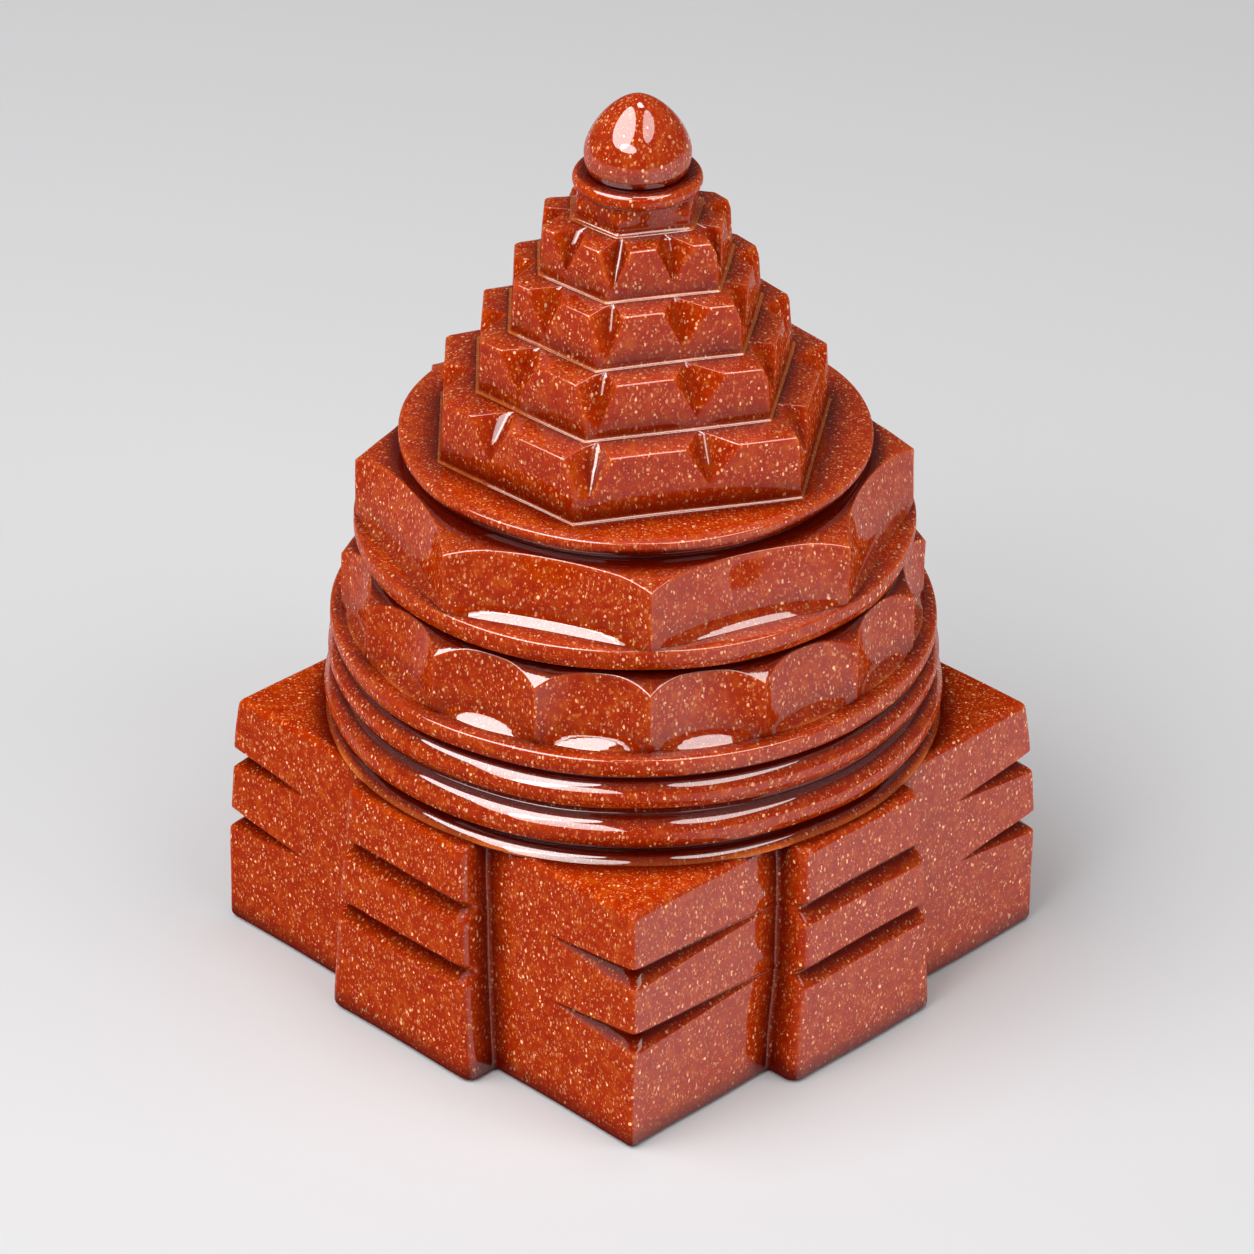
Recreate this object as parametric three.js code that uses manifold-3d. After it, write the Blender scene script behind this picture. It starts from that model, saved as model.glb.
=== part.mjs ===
// Shri yantra in its raised (meru) form: a square plinth with four gates, three girdle rings,
// sixteen and eight scooped petals, four stepped tiers of notched blocks, a collar and a dome.
// Millimetres, +Z up. The origin is at the middle of the underside.
import * as THREE from 'three';
import { mergeVertices } from 'three/addons/utils/BufferGeometryUtils.js';
import Module from 'manifold-3d';

const wasm = await Module();
wasm.setup();

// Plinth
const baseSide = 37;
const baseHeight = 16.6;
const baseCornerRadius = 1.1;
const baseLean = 0.65;            // how far each side leans in by the top
const baseEdgeRound = 0.4;        // soft top edge
const gateWidth = 12.9;
const gateDepth = 2.3;            // how far a gate stands out from its side
const gateTaper = 1.2;            // how much each end of a gate narrows by the top
const gateCornerRadius = 0.55;
const bandGroove = { width: 1.6, depth: 0.85, lowerLevel: 7.8, upperLevel: 12.3 };
const grooveRunOut = 0.6;         // share of a corner face that a fading groove covers

// Round stages: the lowest girdle is the widest, and the next two each draw in by one step
const girdleRadius = 19.7;
const girdleStep = 0.25;
const lowerGirdle = { radius: girdleRadius, height: 2.9, neck: 1.45, rimLevel: 0.42 };
const middleGirdle = { radius: girdleRadius - girdleStep, height: 2.55, neck: 1.4, rimLevel: 0.66 };
const upperGirdle = { radius: girdleRadius - 2 * girdleStep, height: 2.05, neck: 1.2, rimLevel: 0.35 };
const petalGirdle = { radius: 17.65, height: 2.85, neck: 1.65, rimLevel: 0.56 };
const roundTerrace = { radius: 14.9, height: 2.05, neck: 1.1, rimLevel: 0.55 };
// Their section: a cove at the foot, a neck drawn in from the rim, and the rim with a soft top
// edge. A stage's rimLevel is the share of its height at which its rim starts.
const coveWidth = 0.45;
const neckLevel = 0.5;            // level of the neck as a share of the rim's level
const rimRound = 0.35;

// Petal tiers: corner radius, height, and how deep the scoops are at top and foot
const petalTwist = 3;             // degrees from the plinth's diagonal
const petalSetback = 0.15;        // the eight petals stand back from their girdle's rim by this
const sixteenPetals = { count: 16, radius: 18.45, height: 3.8, scoopTop: 1.9, scoopFoot: 0.12 };
const eightPetals = {
  count: 8, radius: petalGirdle.radius - petalSetback, height: 3.85, scoopTop: 1.25, scoopFoot: 0.12,
};

// Block tiers: corner radius at the foot, height, width of a notch's mouth at the top edge, and
// the plain wall left under a notch
const tierDraft = 0.25;           // how far the corners draw in from a tier's foot to its top
const tierTopFall = 0.3;          // how far a tier's top slopes down towards its edge
const tierTopMargin = 0.25;       // level strip left round the foot of the tier above
const firstTier = { foot: 13.55, height: 4.35, notch: 3.2, footGap: 1.7 };
const secondTier = { foot: 10.9, height: 3.75, notch: 2.95, footGap: 1.0 };
const thirdTier = { foot: 8.65, height: 3.6, notch: 2.7, footGap: 1.1 };
const fourthTier = { foot: 6.6, height: 3.4, notch: 2.3, footGap: 1.1 };
// The hand-cut outline that all four share: direction in degrees and share of the corner radius
const blockCorners = [
  [-113, 0.96], [-62, 0.97], [3, 1], [61, 0.93], [108, 0.96], [148, 0.95], [206, 0.94],
];
const notchCount = 10;
const notchTurn = -22;            // direction of one notch in degrees
const coveSize = 0.2;             // small cove at a block tier's foot
const blockEdgeRound = 0.12;

// Collar and dome
const collarFootRadius = 4.2;
const collarRimRadius = 4.1;
const collarHeight = 2.6;
const collarShoulder = 1.6;       // level up to which the collar keeps the tiers' outline
const bindu = { radius: 3.42, seatRadius: 3.0, bulgeHeight: 1.35, height: 5.0 };
const domeFullness = 1.85;        // higher makes the dome's shoulders fuller
const domePoint = 0.75;           // higher makes its tip sharper

const turnSteps = 72;             // steps of a full turn
const smallTurnSteps = 36;        // the same for the small round pieces at the top

const radians = (degrees) => THREE.MathUtils.degToRad(degrees);

function solidOf(geometry) {
  geometry.deleteAttribute('normal');
  geometry.deleteAttribute('uv');
  const merged = mergeVertices(geometry, 1e-5);
  const vertProperties = new Float32Array(merged.attributes.position.array);
  const triVerts = new Uint32Array(merged.index.array);
  return new wasm.Manifold(new wasm.Mesh({ numProp: 3, vertProperties, triVerts }));
}

function geometryOf(solid) {
  const { vertProperties, triVerts } = solid.getMesh();
  const geometry = new THREE.BufferGeometry();
  geometry.setAttribute('position', new THREE.BufferAttribute(new Float32Array(vertProperties), 3));
  geometry.setIndex(new THREE.BufferAttribute(new Uint32Array(triVerts), 1));
  geometry.computeVertexNormals();
  return geometry;
}

function cutAll(body, cutters) {
  return cutters.reduce((left, cutter) => left.subtract(solidOf(cutter)), solidOf(body));
}

// A rectangle with round corners, about the origin
function roundedOutline(width, depth, radius) {
  const x = width / 2 - radius;
  const y = depth / 2 - radius;
  const outline = new THREE.Shape();
  outline.absarc(x, y, radius, 0, Math.PI / 2);
  outline.absarc(-x, y, radius, Math.PI / 2, Math.PI);
  outline.absarc(-x, -y, radius, Math.PI, 1.5 * Math.PI);
  outline.absarc(x, -y, radius, 1.5 * Math.PI, 2 * Math.PI);
  return outline;
}

// An extrusion in stages: each stage has a level and how far the outline is drawn in there
function stagedPrism(outline, stages, halfX, halfY) {
  const steps = stages.length - 1;
  const prism = new THREE.ExtrudeGeometry(outline, {
    depth: steps, steps, bevelEnabled: false, curveSegments: 5,
  });
  const at = prism.attributes.position;
  for (let i = 0; i < at.count; i += 1) {
    const { level, inX, inY } = stages[Math.round(at.getZ(i))];
    at.setXYZ(i, at.getX(i) * (1 - inX / halfX), at.getY(i) * (1 - inY / halfY), level);
  }
  return prism;
}

// A V-shaped cutter: its edge runs along one direction and its mouth opens towards another
function grooveCutter({ depth, halfMouth, length, open, along }) {
  const reach = 2;                // the mouth opens on past the face by this factor
  const section = new THREE.Shape([
    new THREE.Vector2(0, 0),
    new THREE.Vector2(reach * depth, -reach * halfMouth),
    new THREE.Vector2(reach * depth, reach * halfMouth),
  ]);
  const cutter = new THREE.ExtrudeGeometry(section, { depth: length, bevelEnabled: false });
  cutter.translate(0, 0, -length / 2);
  const across = new THREE.Vector3().crossVectors(along, open);
  cutter.applyMatrix4(new THREE.Matrix4().makeBasis(open, across, along));
  return cutter;
}

// How far the plinth's sides have leaned in at a level: upright at first, then more and more
function leanAt(level) {
  return baseLean * (level / baseHeight) ** 3;
}

function baseStages(taper) {
  const fullLevel = baseHeight - baseEdgeRound;
  const levels = [0, bandGroove.lowerLevel / 2, bandGroove.lowerLevel, bandGroove.upperLevel,
    (bandGroove.upperLevel + fullLevel) / 2, fullLevel];
  const stages = levels.map((level) => (
    { level, inX: leanAt(level), inY: leanAt(level) + taper * level / baseHeight }));
  for (const turn of [30, 60, 90]) {
    const rise = baseEdgeRound * Math.sin(radians(turn));
    const inward = baseEdgeRound * (1 - Math.cos(radians(turn)));
    const level = fullLevel + rise;
    const lean = leanAt(level) + inward;
    stages.push({ level, inX: lean, inY: lean + taper * level / baseHeight });
  }
  return stages;
}

// Cutters for one side of the plinth, the side that faces -Y, at one groove level
function sideGrooves(level, leftFades, rightFades) {
  const face = baseSide / 2 - leanAt(level);
  const cornerLength = face - gateWidth / 2;
  const groove = (length) => grooveCutter({
    depth: bandGroove.depth,
    halfMouth: bandGroove.width / 2,
    length,
    open: new THREE.Vector3(0, -1, 0),
    along: new THREE.Vector3(1, 0, 0),
  });
  const acrossGate = groove(2 * gateWidth);
  acrossGate.translate(0, bandGroove.depth - face - gateDepth, level);
  const cutters = [acrossGate];
  for (const [side, fades] of [[-1, leftFades], [1, rightFades]]) {
    // a fading groove starts at full depth at the corner and leaves the face part way along
    const run = cornerLength * grooveRunOut;
    const cutter = groove(2 * (fades ? run : cornerLength - bandGroove.depth));
    if (fades) cutter.rotateZ(side * Math.atan(bandGroove.depth / run));
    cutter.translate(side * face, bandGroove.depth - face, level);
    cutters.push(cutter);
  }
  return cutters;
}

function bhupura() {
  const half = baseSide / 2;
  const reach = half + gateDepth;
  const block = stagedPrism(roundedOutline(baseSide, baseSide, baseCornerRadius), baseStages(0), half, half);
  const bar = () => stagedPrism(
    roundedOutline(2 * reach, gateWidth, gateCornerRadius), baseStages(gateTaper), reach, gateWidth / 2);
  const crossBar = bar();
  crossBar.rotateZ(Math.PI / 2);
  let solid = solidOf(block).add(solidOf(bar())).add(solidOf(crossBar));
  for (let side = 0; side < 4; side += 1) {
    for (const level of [bandGroove.lowerLevel, bandGroove.upperLevel]) {
      // the grooves fade on every corner face but one, on the side that faces +X
      for (const cutter of sideGrooves(level, side !== 1, true)) {
        cutter.rotateZ(side * Math.PI / 2);
        solid = solid.subtract(solidOf(cutter));
      }
    }
  }
  return geometryOf(solid);
}

// The soft top edge of a turned rim, from its side to its top
function rimEdge(radius, height) {
  return [0, 45, 90].map((turn) => [radius - rimRound * (1 - Math.cos(radians(turn))),
    height - rimRound * (1 - Math.sin(radians(turn)))]);
}

// A round stage
function girdle({ radius, height, neck, rimLevel }) {
  const inner = radius - neck;
  const rimStart = rimLevel * height;
  const cove = [0, 45, 90].map((turn) => [inner + coveWidth * (1 - Math.sin(radians(turn))),
    neckLevel * rimStart * (1 - Math.cos(radians(turn)))]);
  return lathe([[0, 0], ...cove, [radius, rimStart], ...rimEdge(radius, height), [0, height]]);
}

function lathe(outline, steps = turnSteps) {
  const geometry = new THREE.LatheGeometry(outline.map(([r, z]) => new THREE.Vector2(r, z)), steps);
  geometry.rotateX(Math.PI / 2);
  return geometryOf(solidOf(geometry));
}

function polygonOutline(corners) {
  return new THREE.Shape(corners.map(([degrees, radius]) => (
    new THREE.Vector2(radius * Math.cos(radians(degrees)), radius * Math.sin(radians(degrees))))));
}

// A regular polygon whose sides are scooped by leaning cylinders, deeper at the top
function petalTier({ count, radius, height, scoopTop, scoopFoot }) {
  const turn = 360 / count;
  const first = -45 + petalTwist;
  const corners = Array.from({ length: count }, (_, i) => [first + i * turn, radius]);
  const prism = new THREE.ExtrudeGeometry(polygonOutline(corners), { depth: height, bevelEnabled: false });
  const flat = radius * Math.cos(radians(turn / 2));
  const halfSide = radius * Math.sin(radians(turn / 2));
  const scoopRadius = (halfSide ** 2 + scoopTop ** 2) / (2 * scoopTop);
  const lean = Math.atan((scoopTop - scoopFoot) / height);
  const scoops = corners.map(([degrees]) => {
    const scoop = new THREE.CylinderGeometry(scoopRadius, scoopRadius, 4 * height, turnSteps);
    scoop.rotateX(Math.PI / 2);
    scoop.rotateY(-lean);
    const middle = flat - (scoopTop + scoopFoot) / 2 + scoopRadius / Math.cos(lean);
    scoop.translate(middle, 0, height / 2);
    scoop.rotateZ(radians(degrees + turn / 2));
    return scoop;
  });
  return geometryOf(cutAll(prism, scoops));
}

// Distance from the axis to the side of a polygon in one direction
function sideRadius(corners, degrees) {
  for (let i = 0; i < corners.length; i += 1) {
    const [startTurn, startRadius] = corners[i];
    const [endTurn, endRadius] = corners[(i + 1) % corners.length];
    const span = THREE.MathUtils.euclideanModulo(endTurn - startTurn, 360);
    const along = THREE.MathUtils.euclideanModulo(degrees - startTurn, 360);
    if (along <= span) {
      const cross = startRadius * endRadius * Math.sin(radians(span));
      return cross / (startRadius * Math.sin(radians(along)) + endRadius * Math.sin(radians(span - along)));
    }
  }
  return 0;
}

const blockOutline = (radius) => blockCorners.map(([degrees, share]) => [degrees, radius * share]);

// One stepped tier: a drafted polygon whose top slopes outwards, with V notches that die out
// towards its foot
function blockTier({ foot, height, notch, footGap }, upperFoot) {
  const edge = height - tierTopFall;
  const draft = (level) => tierDraft * level / height;
  const stages = [
    [0, -coveSize],
    [coveSize / 3, draft(coveSize / 3) - coveSize / 3],
    [coveSize, draft(coveSize)],
    [edge - blockEdgeRound, draft(edge)],
    [edge, draft(edge) + blockEdgeRound],
    [height, foot - upperFoot - coveSize - tierTopMargin],
  ].map(([level, inward]) => ({ level, inX: inward, inY: inward }));
  const body = stagedPrism(polygonOutline(blockOutline(foot)), stages, foot, foot);
  const notches = Array.from({ length: notchCount }, (_, i) => {
    const degrees = notchTurn + i * 360 / notchCount;
    const inner = sideRadius(blockOutline(upperFoot + coveSize), degrees);
    const outerTop = sideRadius(blockOutline(foot - draft(edge)), degrees);
    const outerFoot = sideRadius(blockOutline(foot - draft(footGap)), degrees);
    const drop = height - footGap;
    const run = outerFoot - inner;
    // the root line climbs inwards from low on the outer face to the foot of the tier above
    const open = new THREE.Vector3(drop, 0, run).normalize();
    const cutter = grooveCutter({
      depth: (outerTop - inner) * open.x,
      halfMouth: notch / 2,
      length: 2 * Math.hypot(drop, run),
      open,
      along: new THREE.Vector3(-run, 0, drop).normalize(),
    });
    cutter.translate(inner + run / 2, 0, height - drop / 2);
    cutter.rotateZ(radians(degrees));
    return cutter;
  });
  return geometryOf(cutAll(body, notches));
}

// The collar: the tiers' outline at its foot, ground to a round rim
function collar() {
  const outline = polygonOutline(blockOutline(collarFootRadius));
  const stages = [[0, -coveSize], [coveSize / 3, -coveSize / 3], [coveSize, 0], [collarHeight, 0]]
    .map(([level, inward]) => ({ level, inX: inward, inY: inward }));
  const prism = stagedPrism(outline, stages, collarFootRadius, collarFootRadius);
  const clear = 2 * collarFootRadius;
  const ground = lathe([
    [0, 0], [clear, 0], [clear, collarShoulder / 2], [collarFootRadius, collarShoulder],
    ...rimEdge(collarRimRadius, collarHeight), [0, collarHeight],
  ], smallTurnSteps);
  return geometryOf(solidOf(prism).intersect(solidOf(ground)));
}

// The dome: it bulges a little above its seat and closes in a soft point
function dome() {
  const { radius, seatRadius, bulgeHeight, height } = bindu;
  const outline = [[0, 0]];
  const steps = 5;
  for (let i = 0; i <= steps; i += 1) {
    const turn = Math.PI / 2 * i / steps;
    outline.push([seatRadius + (radius - seatRadius) * Math.sin(turn), bulgeHeight * (1 - Math.cos(turn))]);
  }
  for (let i = 1; i < 2 * steps; i += 1) {
    const rise = Math.sin(Math.PI / 2 * i / (2 * steps));
    outline.push([radius * (1 - rise ** domeFullness) ** domePoint,
      bulgeHeight + (height - bulgeHeight) * rise]);
  }
  outline.push([0, height]);
  return lathe(outline, smallTurnSteps);
}

const group = new THREE.Group();
let level = 0;

// Each stage is seated on the one before it
function seat(name, geometry, height, colour) {
  const glass = new THREE.MeshStandardMaterial({ color: colour, roughness: 0.12, metalness: 0 });
  const mesh = new THREE.Mesh(geometry, glass);
  mesh.name = name;
  mesh.position.z = level;
  group.add(mesh);
  level += height;
}

const goldstone = 0xa63a1c;
seat('bhupura_base', bhupura(), baseHeight, goldstone);
seat('lower_girdle', girdle(lowerGirdle), lowerGirdle.height, goldstone);
seat('middle_girdle', girdle(middleGirdle), middleGirdle.height, goldstone);
seat('upper_girdle', girdle(upperGirdle), upperGirdle.height, goldstone);
seat('sixteen_petal_tier', petalTier(sixteenPetals), sixteenPetals.height, goldstone);
seat('petal_girdle', girdle(petalGirdle), petalGirdle.height, goldstone);
seat('eight_petal_tier', petalTier(eightPetals), eightPetals.height, goldstone);
seat('round_terrace', girdle(roundTerrace), roundTerrace.height, goldstone);
seat('first_block_tier', blockTier(firstTier, secondTier.foot), firstTier.height, goldstone);
seat('second_block_tier', blockTier(secondTier, thirdTier.foot), secondTier.height, goldstone);
seat('third_block_tier', blockTier(thirdTier, fourthTier.foot), thirdTier.height, goldstone);
seat('fourth_block_tier', blockTier(fourthTier, collarFootRadius), fourthTier.height, goldstone);
seat('trikona_collar', collar(), collarHeight, goldstone);
seat('bindu', dome(), bindu.height, goldstone);

export default group;
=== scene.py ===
# Raised shri yantra in polished goldstone glass, dressed for a studio render.
# Shapes are worked out in millimetres and put into the meshes in metres.
import bpy
import numpy as np
from mathutils import Matrix


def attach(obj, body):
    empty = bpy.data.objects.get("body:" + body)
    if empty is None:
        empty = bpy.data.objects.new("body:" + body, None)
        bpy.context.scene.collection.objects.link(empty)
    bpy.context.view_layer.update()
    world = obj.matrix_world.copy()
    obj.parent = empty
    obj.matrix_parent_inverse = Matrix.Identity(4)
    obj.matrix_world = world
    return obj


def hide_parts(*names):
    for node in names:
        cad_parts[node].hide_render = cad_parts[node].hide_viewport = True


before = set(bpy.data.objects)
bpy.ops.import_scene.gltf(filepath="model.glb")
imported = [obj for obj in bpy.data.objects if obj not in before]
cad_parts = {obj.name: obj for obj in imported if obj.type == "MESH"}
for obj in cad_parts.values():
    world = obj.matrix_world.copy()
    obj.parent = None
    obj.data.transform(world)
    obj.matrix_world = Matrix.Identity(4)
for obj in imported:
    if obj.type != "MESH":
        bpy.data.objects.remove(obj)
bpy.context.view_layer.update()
print("frame loaded:", len(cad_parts), "nodes")

mm = 0.001

# distance and target are in millimetres, azimuth, elevation and roll in degrees
view = dict(lens=173.39, sensor=36.0, distance=383.85, azimuth=44.636, elevation=30.573,
            roll=0.473, target=(-0.59, 0.0, 21.78), clipStart=0.02, clipEnd=20.0)


def directions():
    # Unit vectors of the view: from the object towards the camera, to the right, and up.
    # Azimuth turns from -Y towards +X, and elevation rises from the table.
    a, e = np.radians(view["azimuth"]), np.radians(view["elevation"])
    back = np.array([np.sin(a) * np.cos(e), -np.cos(a) * np.cos(e), np.sin(e)])
    right = np.array([np.cos(a), np.sin(a), 0.0])
    return back, right, np.cross(back, right)


def standing(xAxis, yAxis, zAxis, place):
    # the matrix of something at a place in metres, with its axes along three unit vectors
    matrix = np.eye(4)
    matrix[:3] = np.stack([xAxis, yAxis, zAxis, place], axis=1)
    return Matrix(matrix.tolist())


def makeCamera():
    # the camera stands at its distance from the target, rolled a little about its own line
    back, right, up = directions()
    r = np.radians(view["roll"])
    right, up = right * np.cos(r) + up * np.sin(r), up * np.cos(r) - right * np.sin(r)
    place = np.array(view["target"]) + back * view["distance"]
    data = bpy.data.cameras.new("camera")
    data.lens, data.sensor_width = view["lens"], view["sensor"]
    data.clip_start, data.clip_end = view["clipStart"], view["clipEnd"]
    camera = bpy.data.objects.new("camera", data)
    camera.matrix_world = standing(right, up, back, place * mm)
    bpy.context.collection.objects.link(camera)
    bpy.context.scene.camera = camera


# Softboxes: place is (right, towards the camera, up) from the middle of the object and size is
# (across, along), both in metres. Brightness is what a mirror would show. The second size runs
# towards the camera where along is "view", and upwards where it is "side". A softbox that isn't
# mirrored lights the glass but leaves no patch on its polish.
softboxes = {
    "topLeft": dict(place=(-0.235, 0.12, 0.42), size=(0.39, 0.50), brightness=4.5,
                    along="view", mirrored=True),
    "topRight": dict(place=(0.17, 0.13, 0.42), size=(0.20, 0.38), brightness=2.8,
                     along="view", mirrored=True),
    "topSpot": dict(place=(0.03, -0.06, 0.42), size=(0.12, 0.07), brightness=7.0,
                    along="view", mirrored=True),
    "frontLeft": dict(place=(-0.225, 0.475, 0.42), size=(0.44, 0.15), brightness=4.7,
                      along="side", mirrored=True),
    "leftFill": dict(place=(-0.56, 0.20, 0.26), size=(0.36, 0.36), brightness=0.45,
                     along="side", mirrored=False),
    "rightFill": dict(place=(0.60, 0.25, 0.20), size=(0.60, 0.36), brightness=3.6,
                      along="side", mirrored=False),
}
aimHeight = 0.025  # all of them point at this height, in metres


def makeSoftbox(name, place, size, brightness, along, mirrored):
    # An elliptic lamp that faces the object. Its power is brightness times pi times its area,
    # and an ellipse covers pi / 4 of its box.
    back, right, _ = directions()
    level = np.array([back[0], back[1], 0.0]) / np.hypot(back[0], back[1])
    position = right * place[0] + level * place[1] + np.array([0.0, 0.0, place[2]])
    zAxis = position - np.array([0.0, 0.0, aimHeight])
    zAxis /= np.linalg.norm(zAxis)
    long = level if along == "view" else np.array([0.0, 0.0, 1.0])
    yAxis = long - zAxis * (long @ zAxis)
    yAxis /= np.linalg.norm(yAxis)
    data = bpy.data.lights.new(name, "AREA")
    data.shape, data.size, data.size_y = "ELLIPSE", size[0], size[1]
    data.energy = brightness * size[0] * size[1] * np.pi ** 2 / 4
    lamp = bpy.data.objects.new(name, data)
    lamp.matrix_world = standing(np.cross(yAxis, zAxis), yAxis, zAxis, position)
    lamp.visible_camera = False
    lamp.visible_glossy = mirrored
    bpy.context.collection.objects.link(lamp)


class Shade:
    # wraps one output socket, so that arithmetic on it adds Math nodes
    def __init__(self, tree, socket=None):
        self.tree, self.socket = tree, socket

    def node(self, kind, settings=None, inputs=None, out=0):
        # any node: its settings come first, then the values or links of its sockets
        made = self.tree.nodes.new(kind)
        for key, value in (settings or {}).items():
            if key == "stops":
                ramp = made.color_ramp
                while len(ramp.elements) < len(value):
                    ramp.elements.new(0.5)
                for stop, (position, colour) in zip(ramp.elements, value):
                    stop.position, stop.color = position, (*colour, 1.0)
            else:
                setattr(made, key, value)
        for key, value in (inputs or {}).items():
            if isinstance(value, Shade):
                self.tree.links.new(value.socket, made.inputs[key])
            else:
                made.inputs[key].default_value = value
        return Shade(self.tree, made.outputs[out] if len(made.outputs) else None)

    def output(self, name):
        # another output of the same node
        return Shade(self.tree, self.socket.node.outputs[name])

    def math(self, operation, first, second=0.0, clamp=False):
        return self.node("ShaderNodeMath", {"operation": operation, "use_clamp": clamp},
                         {0: first, 1: second})

    def vector(self, operation, first, second=(0.0, 0.0, 0.0)):
        # SCALE takes a number as its second value, and has a socket of its own for it
        key = "Scale" if operation == "SCALE" else 1
        return self.node("ShaderNodeVectorMath", {"operation": operation},
                         {0: first, key: second})

    def mix(self, factor, under, over):
        # one colour over another; each is a socket or three plain numbers
        under, over = (c if isinstance(c, Shade) else (*c, 1.0) for c in (under, over))
        return self.node("ShaderNodeMix", {"data_type": "RGBA"},
                         {"Factor": factor, 6: under, 7: over}, out=2)

    def __add__(self, other): return self.math("ADD", self, other)
    def __radd__(self, other): return self.math("ADD", other, self)
    def __sub__(self, other): return self.math("SUBTRACT", self, other)
    def __rsub__(self, other): return self.math("SUBTRACT", other, self)
    def __mul__(self, other): return self.math("MULTIPLY", self, other)
    def __rmul__(self, other): return self.math("MULTIPLY", other, self)
    def clamped(self): return self.math("ADD", self, 0.0, clamp=True)


goldstone = dict(
    # the glass: three colours from dark to light over a cloudy pattern
    shadow=(0.35, 0.014, 0.0006), body=(0.43, 0.030, 0.0008), glow=(0.55, 0.080, 0.002),
    cloudSize=0.75, cloudDetail=4.0, cloudRoughness=0.62, cloudStops=(0.30, 0.52, 0.74),
    # the copper flecks, from dull to bright; wander bends their edges by this many millimetres
    fleckDim=(0.66, 0.10, 0.006), fleck=(1.0, 0.56, 0.28), fleckMetal=0.35, fleckSharpness=14.0,
    smallestFleck=0.25, dullestFleck=0.05, fleckWander=0.07, wanderPerMm=4.2,
    # painted glint: light given off by the brightest flecks, from glintFrom up
    paintedGlint=(1.0, 0.56, 0.30), glintFrom=0.5,
    # painted shade: a dark colour laid into hollows, where less than hollowFrom of the space
    # around is open
    deep=(0.11, 0.003, 0.0003), hollowReach=2.1, hollowFrom=0.94, hollowGain=3.3,
    # painted glow and highlight: a bright colour along thin edges that face upwards and lie open
    edge=(0.98, 0.24, 0.035), edgeReach=0.45, edgeFrom=0.84, edgeGain=1.5,
    edgeUp=0.4, edgeUpGain=1.5, edgeOpen=0.72, edgeOpenGain=5.0,
    # the surface, and the light that travels just under it, with its reach in millimetres
    roughness=0.5, coatRoughness=0.035, coatIor=2.4,
    milkiness=0.35, milkyReach=1.1, milkyColours=(1.0, 0.22, 0.06),
    # each layer: flecks per millimetre across, how much longer than wide, turn, size, seed
    layers=[
        dict(count=3.6, stretch=1.2, turn=(0.5, 0.3, 0.9), size=0.44, seed=0.0),
        dict(count=4.6, stretch=2.6, turn=(1.3, 0.8, 0.2), size=0.34, seed=7.3),
        dict(count=4.3, stretch=2.4, turn=(0.2, 1.9, 2.3), size=0.36, seed=13.1),
        dict(count=7.5, stretch=1.5, turn=(0.9, 0.4, 1.1), size=0.27, seed=21.7),
    ],
)


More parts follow.
